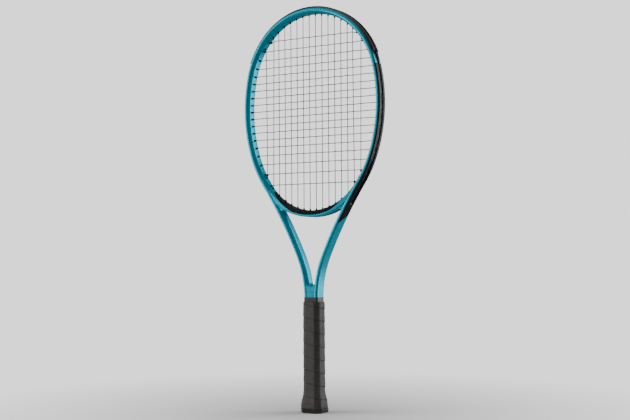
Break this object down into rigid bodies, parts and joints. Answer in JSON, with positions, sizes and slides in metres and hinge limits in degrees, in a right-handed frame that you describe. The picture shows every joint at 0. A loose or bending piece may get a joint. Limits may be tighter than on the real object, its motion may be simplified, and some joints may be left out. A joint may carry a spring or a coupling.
{
  "type": "tennis racket",
  "caption": "Strung adult tennis racket with a hollow frame, open throat, wound grip and a butt cap with a pull-off trap door.",
  "frame": {"origin": "centre of the lowest face, under the butt cap", "axes": "+Z from the butt to the tip of the head, the strings lie in the XZ plane, the front faces -Y"},
  "size_m": [0.269, 0.0386, 0.6858],
  "materials": {
    "frame_paint": "glossy teal paint over carbon fibre",
    "black_nylon": "satin black nylon",
    "string": "smooth dark co-polyester",
    "pallet_foam": "rigid moulded foam",
    "soft_foam": "light filling foam",
    "cap_plastic": "glossy black moulding",
    "steel": "staple wire",
    "grip": "dark grey cushioned wrap",
    "tape": "satin dark tape"
  },
  "bodies": {
    "racket": {"frame_tube": "frame_paint", "throat_bridge": "frame_paint", "shaft_web": "frame_paint", "bumper_guard": "black_nylon", "side_grommets_right": "black_nylon", "side_grommets_left": "black_nylon", "throat_grommets": "black_nylon", "main_string": "string", "cross_string": "string", "tie_off_knots": "string", "pallet_front": "pallet_foam", "pallet_back": "pallet_foam", "handle_foam": "soft_foam", "butt_cap": "cap_plastic", "butt_cap_staples": "steel", "base_grip": "grip", "finishing_tape": "tape"},
    "door": {"trap_door": "cap_plastic"}
  },
  "joints": [
    {"name": "trap_door_pull", "type": "slide", "parent": "racket", "child": "door", "axis": [0, 0, -1], "range_m": [0, 0.015]}
  ]
}
